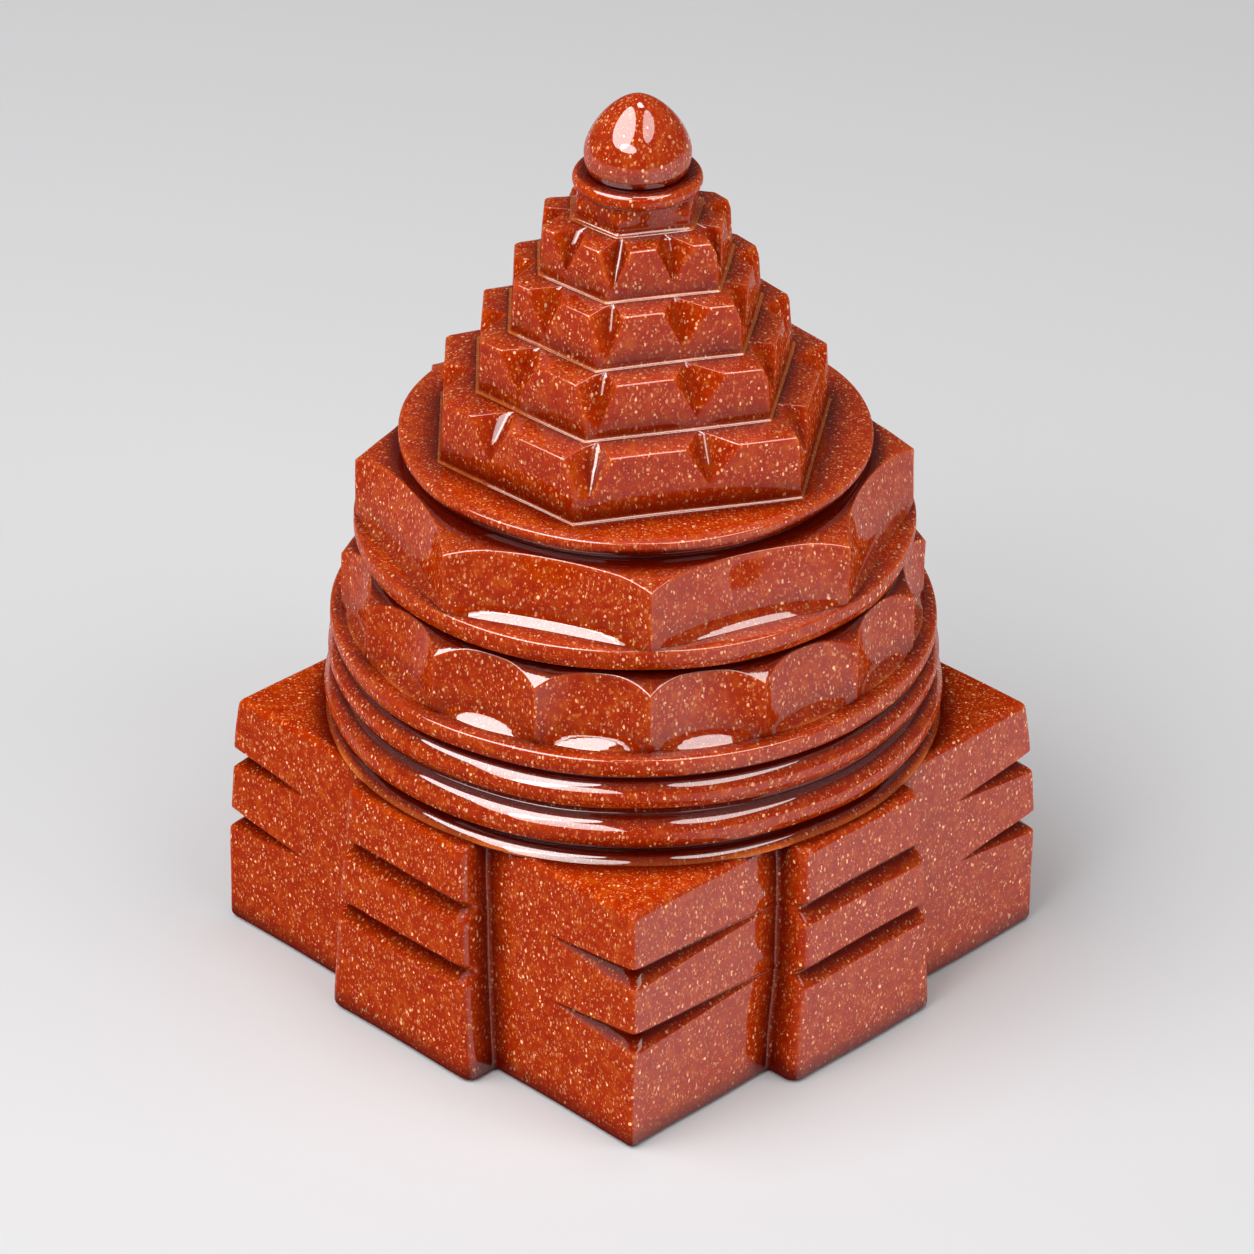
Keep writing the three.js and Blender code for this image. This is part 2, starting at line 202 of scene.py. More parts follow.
def makeGoldstone():
    # Deep red-brown glass under a clear polish. Each layer of flecks is a stretched and turned
    # 3-D cell pattern. A fleck is what lies nearer to its cell's point than a random reach, and
    # each has its own brightness, a random number to the third power, and its own tilt.
    g = goldstone
    material = bpy.data.materials.new("goldstone")
    material.use_nodes = True
    tree = material.node_tree
    tree.nodes.clear()
    s = Shade(tree)
    middle = (0.5, 0.5, 0.5)
    where = s.node("ShaderNodeTexCoord", out="Object")
    wander = s.node("ShaderNodeTexNoise", inputs={
        "Vector": where, "Scale": g["wanderPerMm"] / mm, "Detail": 1.0}, out="Color")
    shift = s.vector("SCALE", s.vector("SUBTRACT", wander, middle), g["fleckWander"] * mm * 2)
    bent = s.vector("ADD", where, shift)
    flecks = shine = tilt = None
    for layer in g["layers"]:
        count, size = layer["count"] / mm, layer["size"]
        placed = s.node("ShaderNodeMapping", {"vector_type": "POINT"}, {
            "Vector": bent, "Location": (layer["seed"],) * 3, "Rotation": layer["turn"],
            "Scale": (count, count, count / layer["stretch"])})
        distance = s.node("ShaderNodeTexVoronoi", {"feature": "F1"},
                          {"Vector": placed, "Scale": 1.0}, out="Distance")
        cell = distance.output("Color")
        sizeRandom = s.node("ShaderNodeSeparateColor", inputs={"Color": cell}, out="Red")
        lightRandom = sizeRandom.output("Green")
        reach = sizeRandom * (1 - g["smallestFleck"]) * size + g["smallestFleck"] * size
        mask = ((reach - distance) * g["fleckSharpness"]).clamped()
        light = lightRandom * lightRandom * lightRandom
        bright = mask * (light * (1 - g["dullestFleck"]) + g["dullestFleck"])
        push = s.vector("SCALE", s.vector("SUBTRACT", cell, middle), mask)
        flecks = mask if flecks is None else s.math("MAXIMUM", flecks, mask)
        shine = bright if shine is None else s.math("MAXIMUM", shine, bright)
        tilt = push if tilt is None else s.vector("ADD", tilt, push)
    cloud = s.node("ShaderNodeTexNoise", inputs={
        "Vector": where, "Scale": 1.0 / (g["cloudSize"] * mm), "Detail": g["cloudDetail"],
        "Roughness": g["cloudRoughness"]}, out="Fac")
    stops = list(zip(g["cloudStops"], (g["shadow"], g["body"], g["glow"])))
    tint = s.node("ShaderNodeValToRGB", {"stops": stops}, {"Fac": cloud}, out="Color")
    colour = s.mix(flecks, tint, s.mix(shine, g["fleckDim"], g["fleck"]))
    surface = s.node("ShaderNodeNewGeometry", out="Normal")
    normal = s.vector("NORMALIZE", s.vector("ADD", surface, tilt))
    # painted shade darkens the hollows, and a painted glow lights thin edges that face upwards and
    # lie open
    openness = s.node("ShaderNodeAmbientOcclusion", {"samples": 6},
                      {"Distance": g["hollowReach"] * mm}, out="AO")
    thickness = s.node("ShaderNodeAmbientOcclusion",
                       {"samples": 6, "inside": True, "only_local": True},
                       {"Distance": g["edgeReach"] * mm}, out="AO")
    # painted shade: hollows, where little of the space around is open, are darkened in colour
    hollow = ((g["hollowFrom"] - openness) * g["hollowGain"]).clamped()
    upward = s.node("ShaderNodeSeparateXYZ", inputs={"Vector": surface}, out="Z")
    upward = (upward * g["edgeUpGain"] + g["edgeUp"]).clamped()
    airy = ((openness - g["edgeOpen"]) * g["edgeOpenGain"]).clamped()
    # painted glow and highlight: thin open edges, more where they face up, turn to the edge colour
    edge = ((g["edgeFrom"] - thickness) * g["edgeGain"]).clamped() * upward * airy
    # painted glint: the brightest flecks give off light, but none inside the painted shade
    glow = (shine - g["glintFrom"]).clamped() * (1.0 - hollow)
    colour = s.mix(edge, s.mix(hollow, colour, g["deep"]), g["edge"])
    skin = s.node("ShaderNodeBsdfPrincipled", inputs={
        "Base Color": colour, "Roughness": g["roughness"], "Metallic": flecks * g["fleckMetal"],
        "Normal": normal, "Specular IOR Level": 0.0,
        "Coat Weight": s.node("ShaderNodeAttribute", {"attribute_name": "polish"}, out="Fac"),
        "Coat Roughness": g["coatRoughness"], "Coat IOR": g["coatIor"],
        "Subsurface Weight": g["milkiness"], "Subsurface Radius": g["milkyColours"],
        "Subsurface Scale": g["milkyReach"] * mm,
        "Emission Color": s.mix(glow, (0.0, 0.0, 0.0), g["paintedGlint"]), "Emission Strength": 1.0})
    s.node("ShaderNodeOutputMaterial", inputs={"Surface": skin})
    return material


# Nothing cut by hand is quite true. For each axis: waves of (strength, turn per millimetre along
# x, y and z, start). Size is in millimetres, and the waves along z fade out over the lowest
# millimetres that settle gives.
handwork = dict(size=0.035, settle=4.0, waves=[
    [(1.0, (0.0, 0.55, 0.37), 1.0), (0.6, (-0.6, 0.0, 0.9), 0.0)],
    [(1.0, (0.50, 0.0, -0.42), 2.1), (0.6, (0.0, 0.7, 0.8), 0.0)],
    [(0.4, (0.45, 0.38, 0.0), 0.0)]])


def handCut(points):
    # Moves each point along each axis by a sum of slow sine waves, strength * sin(turn . point
    # + start), the same way on every piece, so that pieces still meet.
    wave = [sum(strength * np.sin(points @ np.array(turn) + start)
                for strength, turn, start in waves) for waves in handwork["waves"]]
    wave[2] = wave[2] * np.clip(points[..., 2] / handwork["settle"], 0.0, 1.0)
    return points + handwork["size"] * np.stack(wave, -1)


# Upright walls carry painted reflection: their clear coat is stronger where they face the bright
# side, which paints a sheen there. A wall's side is the cosine of the angle between the way
# that it faces and the bright side's direction, in degrees. Its polish rises from brightFrom
# over brightOver, and by farShare once more on the far side, below farFrom over farOver.
sheen = dict(brightSide=44.636, brightFrom=0.02, brightOver=0.33,
             farFrom=-0.75, farOver=0.2, farShare=0.7)


def closedSkin(name, grid, polished=(0.45, 0.65), walls=(0.05, 0.4), most=1.0, share=None):
    # A closed skin over a grid of rows (upwards) and columns (once round, anticlockwise):
    # quads between rows, and a fan to a middle point at the lowest and the highest row.
    # Its polish, the clear coat's weight, is between the two values of walls where it is upright,
    # by its sheen, which is painted reflection, and goes up to most as the vertical part of its
    # normal goes from the first to the second value of polished. Share, one number for each grid
    # point, takes polish off the walls.
    rows, columns = grid.shape[:2]
    points = handCut(grid)
    low, high = points[0].mean(0), points[-1].mean(0)
    vertices = np.vstack([points.reshape(-1, 3), low, high]) * mm
    r, c = np.meshgrid(np.arange(rows - 1), np.arange(columns), indexing="ij")
    n = (c + 1) % columns
    quads = np.stack([r * columns + c, r * columns + n,
                      (r + 1) * columns + n, (r + 1) * columns + c], -1).reshape(-1, 4)
    c = np.arange(columns)
    n = (c + 1) % columns
    last = (rows - 1) * columns
    bottom = np.stack([np.full(columns, rows * columns), n, c], -1)
    top = np.stack([np.full(columns, rows * columns + 1), last + c, last + n], -1)
    mesh = bpy.data.meshes.new(name)
    mesh.from_pydata(vertices.tolist(), [], quads.tolist() + bottom.tolist() + top.tolist())
    mesh.polygons.foreach_set("use_smooth", np.ones(len(mesh.polygons), dtype=bool))
    mesh.update()
    normals = np.empty(len(mesh.vertices) * 3)
    mesh.vertex_normals.foreach_get("vector", normals)
    tilt = np.clip((np.abs(normals[2::3]) - polished[0]) / (polished[1] - polished[0]), 0.0, 1.0)
    # painted reflection: upright walls that face the bright side get a stronger clear coat
    turn = np.radians(sheen["brightSide"])
    side = normals[0::3] * np.cos(turn) + normals[1::3] * np.sin(turn)
    facing = np.clip((side - sheen["brightFrom"]) / sheen["brightOver"], 0.0, 1.0)
    facing += sheen["farShare"] * np.clip((sheen["farFrom"] - side) / sheen["farOver"], 0.0, 1.0)
    wall = walls[0] + (walls[1] - walls[0]) * facing
    if share is not None:
        wall[:-2] *= share.ravel()
    polish = mesh.attributes.new("polish", "FLOAT", "POINT")
    polish.data.foreach_set("value", wall + (most - wall) * tilt)
    piece = bpy.data.objects.new(name, mesh)
    bpy.context.collection.objects.link(piece)
    weigh = piece.modifiers.new("flat faces stay flat", "WEIGHTED_NORMAL")
    weigh.mode, weigh.weight = "FACE_AREA", 100
    return piece


def aroundAxis(distance, angle):
    # flat points at a distance from the axis, in a direction
    return np.stack([distance * np.cos(angle), distance * np.sin(angle)], -1)


def cornerArc(start, corner, end, inside, steps):
    # The arc that touches both sides of a corner with the angle inside. A rational curve with
    # the corner as its handle is a true arc when its weight is the cosine of half the turn.
    t = np.linspace(0.0, 1.0, steps + 1)[:, None]
    weight = np.sin(inside / 2)[..., None, None]
    start, corner, end = start[..., None, :], corner[..., None, :], end[..., None, :]
    top = (1 - t) ** 2 * start + 2 * t * (1 - t) * weight * corner + t ** 2 * end
    return top / ((1 - t) ** 2 + 2 * t * (1 - t) * weight + t ** 2)


def roundedLoop(corners, radii, arcSteps, sideSteps, leastReach=0.02, mostShare=0.45):
    # A closed polygon with rounded corners, for many levels at once. Each corner becomes an arc
    # that touches both sides, and each side is cut into equal steps. An arc reaches at least
    # leastReach along its sides, and at most mostShare of the shorter one.
    # corners is levels x n x 2, radii is n or levels x n; the result is levels x columns x 2.
    before = np.roll(corners, 1, axis=1) - corners
    after = np.roll(corners, -1, axis=1) - corners
    lengthBefore = np.linalg.norm(before, axis=-1)
    lengthAfter = np.linalg.norm(after, axis=-1)
    a = before / lengthBefore[..., None]
    b = after / lengthAfter[..., None]
    inside = np.arccos(np.clip((a * b).sum(-1), -0.999999, 0.999999))
    reach = np.asarray(radii) / np.tan(inside / 2)
    most = mostShare * np.minimum(lengthBefore, lengthAfter)
    reach = np.minimum(np.maximum(reach, leastReach), most)
    start, end = corners + a * reach[..., None], corners + b * reach[..., None]
    arc = cornerArc(start, corners, end, inside, arcSteps)
    u = (np.arange(1, sideSteps + 1) / (sideSteps + 1))[None, None, :, None]
    side = end[:, :, None] * (1 - u) + np.roll(start, -1, axis=1)[:, :, None] * u
    return np.concatenate([arc, side], axis=2).reshape(len(corners), -1, 2)


def softened(points, arcSteps=5, leastReach=0.01, mostShare=0.48):
    # An open line through (distance, level, rounding) points, with each inner corner replaced by
    # an arc, as roundedLoop does it.
    p = np.array(points, float)
    corner = p[1:-1, :2]
    before, after = p[:-2, :2] - corner, p[2:, :2] - corner
    lengthBefore, lengthAfter = np.linalg.norm(before, axis=1), np.linalg.norm(after, axis=1)
    a, b = before / lengthBefore[:, None], after / lengthAfter[:, None]
    inside = np.arccos(np.clip((a * b).sum(1), -0.9999, 0.9999))
    reach = p[1:-1, 2] / np.tan(inside / 2)
    most = mostShare * np.minimum(lengthBefore, lengthAfter)
    reach = np.clip(reach, leastReach, most)[:, None]
    arcs = cornerArc(corner + a * reach, corner, corner + b * reach, inside, arcSteps)
    return np.vstack([p[:1, :2], arcs.reshape(-1, 2), p[-1:, :2]])


def drawnIn(corners, inward, sharpest=0.3):
    # Moves every side of a polygon inwards by the same distance; each corner goes to where its
    # two moved sides meet, or less far where it is sharper than sharpest allows.
    side = np.roll(corners, -1, axis=1) - corners
    side = side / np.linalg.norm(side, axis=-1)[..., None]
    normal = np.stack([-side[..., 1], side[..., 0]], -1)
    earlier = np.roll(normal, 1, axis=1)
    share = np.maximum(1.0 + (normal * earlier).sum(-1), sharpest)
    return corners + (normal + earlier) * (np.asarray(inward)[:, None] / share)[..., None]


def lifted(loops, levels):
    # puts each loop at its level
    height = np.broadcast_to(np.asarray(levels, float)[:, None, None], (*loops.shape[:2], 1))
    return np.concatenate([loops, height], -1)


def softEdge(radius, rows):
    # a quarter round from an upright wall to a flat top: how far down, and how far in
    turn = np.linspace(0.0, np.pi / 2, rows)
    return radius * (1 - np.sin(turn)), radius * (1 - np.cos(turn))


def shrunkTop(loop, shares):
    # more rows on a flat top: the same loop drawn towards its middle
    return np.stack([loop * share for share in shares])


# Grooves are (lower lip, root, upper lip) levels. The fades say what share of a corner face the
# groove runs along at its root: longFade on the one face to the right of the front corner, and
# fadeShare on the others.
plinth = dict(side=37.0, height=16.6, lean=0.65, gateWidth=12.9, gateDepth=2.3, gateTaper=1.2,
              cornerRound=1.0, gateRound=0.75, innerRound=0.3, topRound=0.45, footRound=0.5,
              grooves=[(6.95, 7.75, 8.45), (11.45, 12.3, 13.0)], grooveDepth=0.85,
              grooveSoft=0.05, grooveReach=1.6, grooveTrim=0.002, lipMargin=0.12,
              fadeShare=0.6, longFade=1.08, leastFade=0.06, mostFade=0.97,
              topShares=(0.97, 0.9, 0.75, 0.5), arcSteps=6, sideSteps=6,
              rows=dict(foot=5, below=7, rise=10, fall=9, above=6, top=7),
              polished=(0.97, 1.6), walls=(0.05, 0.5))


def plinthPiece():
    # One polygon of 28 corners for each level. A groove is a soft V across the levels: its
    # depth falls off evenly from its root to its lips, and it draws the corners in.
    # On a corner face it also dies out along the face, sooner the further from its root.
    # The walls lean in by the third power of the level.
    p, rows = plinth, plinth["rows"]
    h, soft, margin = p["height"], p["grooveSoft"], p["lipMargin"]
    turn = np.linspace(0, np.pi / 2, rows["foot"])
    down, inwards = softEdge(p["topRound"], rows["top"])
    levels = [p["footRound"] * (1 - np.cos(turn))]
    level = p["footRound"]
    for low, root, high in p["grooves"]:
        levels += [np.linspace(level, low - margin, rows["below"])[1:-1],
                   np.linspace(low - margin, root, rows["rise"]),
                   np.linspace(root, high + margin, rows["fall"])[1:]]
        level = high + margin
    levels += [np.linspace(level, h - p["topRound"], rows["above"])[1:-1], h - down]
    z = np.concatenate(levels)
    drawn = np.zeros_like(z)
    drawn[:len(turn)] = p["footRound"] * (1 - np.sin(turn))
    drawn[-len(inwards):] = inwards
    share = np.zeros_like(z)
    for low, root, high in p["grooves"]:
        t = np.where(z < root, (root - z) / (root - low), (z - root) / (high - root))
        v = 1 + soft - np.sqrt(t ** 2 + soft ** 2)
        near = np.abs(z - root) < p["grooveReach"]
        share += np.where(near, (v + np.sqrt(v ** 2 + soft ** 2)) / 2, 0.0)
    share = np.clip(share - p["grooveTrim"], 0.0, 1.0)
    depth = p["grooveDepth"] * share
    half = p["side"] / 2 - p["lean"] * (z / h) ** 3 - drawn
    gate = p["gateWidth"] / 2 - p["gateTaper"] * z / h - drawn
    front = half + p["gateDepth"] - depth
    face = half - gate
    right = half - face * np.clip(p["fadeShare"] * share, p["leastFade"], p["mostFade"])
    sides = []
    for quarter in range(4):
        # the second side starts at the front corner, and its first face has the long grooves
        fade = p["longFade"] if quarter == 1 else p["fadeShare"]
        left = half - face * np.clip(fade * share, p["leastFade"], p["mostFade"])
        x = np.stack([-(half - depth), -left, -gate, -gate, gate, gate, right], -1)
        y = np.stack([-(half - depth), -half, -half, -front, -front, -half, -half], -1)
        c, s = np.cos(quarter * np.pi / 2), np.sin(quarter * np.pi / 2)
        sides.append(np.stack([c * x - s * y, s * x + c * y], -1))
    corners = np.concatenate(sides, axis=1)
    radii = np.tile([p["cornerRound"], 0.0, p["innerRound"], p["gateRound"],
                     p["gateRound"], p["innerRound"], 0.0], 4)
    loops = roundedLoop(corners, radii, p["arcSteps"], p["sideSteps"])
    inner = shrunkTop(loops[-1], p["topShares"])
    grid = lifted(np.concatenate([loops, inner]), np.concatenate([z, np.full(len(inner), h)]))
    return closedSkin("plinth", grid, p["polished"], p["walls"])


# Turned stages: for each, its foot level and a profile of (distance from the axis, height above
# the foot, rounding), from the foot, with a small lip on the lowest ring and the terrace, past a
# neck and an overhanging rim with a soft shoulder, to a top that rises inwards
stages = {
    "lower_girdle": (16.6, [
        (19.62, -0.1, 0), (19.6, 0.0, 0.05), (19.28, 0.46, 0.9), (18.55, 0.62, 0.2),
        (18.45, 1.0, 0.1), (19.45, 1.25, 0.15), (19.68, 1.9, 1.0), (19.62, 2.45, 0.3),
        (19.22, 2.98, 0.9), (18.62, 3.2, 0.2), (18.5, 3.7, 0.2), (17.0, 3.72, 0)]),
    "middle_girdle": (19.5, [
        (18.6, 0.1, 0), (18.5, 0.4, 0.1), (18.5, 0.72, 0.1), (19.15, 0.98, 0.15),
        (19.42, 1.6, 0.5), (19.38, 2.1, 0.3), (19.0, 2.6, 0.9), (18.44, 2.8, 0.2),
        (18.3, 3.2, 0.2), (16.8, 3.22, 0)]),
    "upper_girdle": (22.05, [
        (18.4, 0.2, 0), (18.35, 0.35, 0.1), (18.4, 0.5, 0.1), (19.05, 0.64, 0.12),
        (19.24, 1.2, 0.5), (19.2, 1.84, 0.16), (18.85, 1.95, 0.6), (17.0, 2.2, 0.5),
        (15.5, 2.25, 0)]),
    "petal_girdle": (27.9, [
        (16.6, 0.2, 0), (16.4, 0.4, 0.1), (16.2, 0.75, 0.2), (16.4, 1.05, 0.2),
        (17.38, 1.32, 0.12), (17.66, 2.0, 0.6), (17.62, 2.74, 0.14), (17.15, 2.84, 0.5),
        (15.6, 3.02, 0.5), (13.5, 3.05, 0)]),
    "round_terrace": (34.6, [
        (14.95, 0.0, 0), (14.92, 0.1, 0.05), (14.68, 0.42, 0.8), (14.0, 0.56, 0.2),
        (13.9, 0.8, 0.1), (14.5, 0.98, 0.12), (14.85, 1.5, 0.5), (14.8, 1.96, 0.14),
        (14.2, 2.05, 0.5), (9.0, 2.05, 0)]),
}
stageSteps = 320


def turnedGrid(r, z, steps):
    # rows of distances and levels carried once round the axis
    angle = np.arange(steps) * 2 * np.pi / steps
    r, z, angle = np.broadcast_arrays(r, z, angle)
    return np.concatenate([aroundAxis(r, angle), z[..., None]], -1)


def stagePiece(name):
    # a softened profile turned round the axis
    foot, points = stages[name]
    profile = softened(points) + [0.0, foot]
    return closedSkin(name, turnedGrid(profile[:, :1], profile[:, 1:], stageSteps))


petals = {
    "sixteen_petal_tier": dict(count=16, radius=18.45, foot=24.1, height=3.8, scoopTop=1.0,
                               scoopFoot=0.35, rise=0.85, inner=17.15, fillet=1.0,
                               filletHeight=0.75, filletTaper=1.7),
    "eight_petal_tier": dict(count=8, radius=17.5, foot=30.75, height=3.85, scoopTop=1.3,
                             scoopFoot=0.15, rise=0.45, inner=15.9, fillet=0.9,
                             filletHeight=0.75, filletTaper=1.0),
}
petalShape = dict(firstCorner=-42.0, edgeRound=0.09, cornerRound=0.1, sink=0.3, hollow=2.1,
                  filletPower=1.35, roofPower=1.3, columns=22, filletRows=8, wallRows=12,
                  edgeRows=5, arcSteps=3, topRows=6, topShare=0.8)


def petalPiece(name):
    # A regular polygon whose sides are scooped. Across a side the scoop's depth is
    # 1 - |distance from the side's middle| ^ hollow, so the corners stay where they are; it
    # grows evenly with the level. Low down the scoop runs out into a slope, widest at the
    # middle of the side: fillet * (1 - level / fillet height) ^ filletPower. The top is highest
    # inside and falls towards the corners, ever steeper: 1 - (share of the way out) ^ roofPower,
    # times the rise.
    p, k = petals[name], petalShape
    n, h, columns = p["count"], p["height"], k["columns"]
    down, inwards = softEdge(k["edgeRound"], k["edgeRows"])
    filletTop = p["filletHeight"] / h
    share = np.r_[np.linspace(0, filletTop, k["filletRows"]),
                  np.linspace(filletTop, 1, k["wallRows"])[1:-1]]
    t = 0.5 - 0.5 * np.cos(np.pi * np.arange(columns) / columns)
    first = np.radians(k["firstCorner"] + 360 / n * np.arange(n))
    start = p["radius"] * aroundAxis(1.0, first)
    end = np.roll(start, -1, axis=0)
    middle = (start + end) / 2
    inward = -middle / np.linalg.norm(middle, axis=-1)[:, None]
    chord = start[:, None] * (1 - t)[None, :, None] + end[:, None] * t[None, :, None]
    bow = 1 - np.abs(2 * t - 1) ** k["hollow"]
    dip = bow[None, None, :, None] * inward[None, :, None]
    spread = -(bow ** p["filletTaper"])[None, None, :, None] * inward[None, :, None]
    rise = np.concatenate([share, np.ones(len(down))])
    scoop = p["scoopFoot"] + (p["scoopTop"] - p["scoopFoot"]) * rise
    flare = p["fillet"] * np.clip(1 - rise * h / p["filletHeight"], 0, 1) ** k["filletPower"]
    corners = chord[None] + dip * scoop[:, None, None, None] + spread * flare[:, None, None, None]
    corners = corners.reshape(len(rise), -1, 2)
    corners = drawnIn(corners, np.concatenate([np.zeros(len(share)), inwards]))
    radii = np.tile(np.r_[k["cornerRound"], np.zeros(columns - 1)], n)
    loops = roundedLoop(corners, radii, k["arcSteps"], 0)
    inner = shrunkTop(loops[-1], np.linspace(1, k["topShare"], k["topRows"])[1:])
    loops = np.concatenate([loops, inner])
    reach = np.linalg.norm(loops, axis=-1)
    out = np.clip((reach - p["inner"]) / (p["radius"] - p["inner"]), 0.0, 1.0)
    roof = h + p["rise"] * (1 - out ** k["roofPower"])
    fall = np.concatenate([np.zeros(len(share)), down, np.zeros(len(inner))])
    # wall rows run from the sunk foot to the lip, and the rows above them follow the roof
    wallHeight = roof[len(share)] - k["edgeRound"] + k["sink"]
    wall = wallHeight * np.r_[share, np.ones(len(loops) - len(share))][:, None] - k["sink"]
    onWall = np.arange(len(loops))[:, None] < len(share)
    level = np.where(onWall, wall, roof - fall[:, None])
    grid = np.concatenate([loops, level[..., None] + p["foot"]], -1)
    return closedSkin(name.replace("_", "."), grid)


# The stepped tiers share one hand-cut outline of seven corners: direction in degrees, and share
# of the tier's radius. Notch is a notch's width at the lip, gap how far above the foot its root
# starts, climb the power of the root's way in, and above the radius of the tier that stands on
# this one.
outline = dict(direction=[-113, -62, 3, 61, 108, 148, 206],
               share=[0.96, 0.97, 1.0, 0.93, 0.96, 0.95, 0.94])
tiers = {
    "first_block_tier": dict(radius=13.55, foot=36.65, height=4.35, notch=3.6, gap=1.6,
                             climb=1.0, above=10.9),
    "second_block_tier": dict(radius=10.9, foot=41.0, height=3.75, notch=3.25, gap=0.8,
                              climb=0.98, above=8.65),
    "third_block_tier": dict(radius=8.65, foot=44.75, height=3.6, notch=2.95, gap=0.8,
                             climb=0.98, above=6.6),
    "fourth_block_tier": dict(radius=6.6, foot=48.35, height=3.4, notch=2.5, gap=0.9,
                              climb=0.98, above=4.2),
}
tierShape = dict(draft=0.25, drop=0.3, ledge=2.0, notches=10, firstNotch=-22.0, cove=0.2,
                 edgeRound=0.17, ledgeGap=0.25, mouthRound=0.1, rootRound=0.35,
                 rootRoundTop=0.5, cornerRound=0.22, sink=0.15,
                 leastDepth=0.004, leastMouth=0.03, deepestNotch=8.0, halvings=30,
                 cornerClear=0.004, cornerNear=0.6, notchPolish=0.1, dullFrom=0.05, dullOver=0.15,
                 coveRows=5, wallRows=30, bendRows=6, ledgeRows=8, arcSteps=4, sideSteps=3,
                 topShares=(0.96, 0.9, 0.8, 0.6), polished=(0.42, 0.6), walls=(0.10, 0.24))


def wallCorners(radius):
    # corner points of the shared outline, one row for each radius given
    reach = np.multiply.outer(radius, np.array(outline["share"]))
    return aroundAxis(reach, np.radians(outline["direction"]))


def wallReach(corners, angle):
    # Distance from the axis to a polygon in given directions: for each side, where the ray meets
    # its line; the nearest meeting in front is the wall, because the outline is convex.
    a, b = corners, np.roll(corners, -1, axis=1)
    side = b - a
    ray = aroundAxis(1.0, angle)
    area = a[..., 0] * side[..., 1] - a[..., 1] * side[..., 0]
    cross = ray[..., None, 0] * side[:, None, :, 1] - ray[..., None, 1] * side[:, None, :, 0]
    meet = area[:, None, :] / np.where(np.abs(cross) < 1e-9, 1e-9, cross)
    return np.where(meet > 0, meet, 1e9).min(-1)


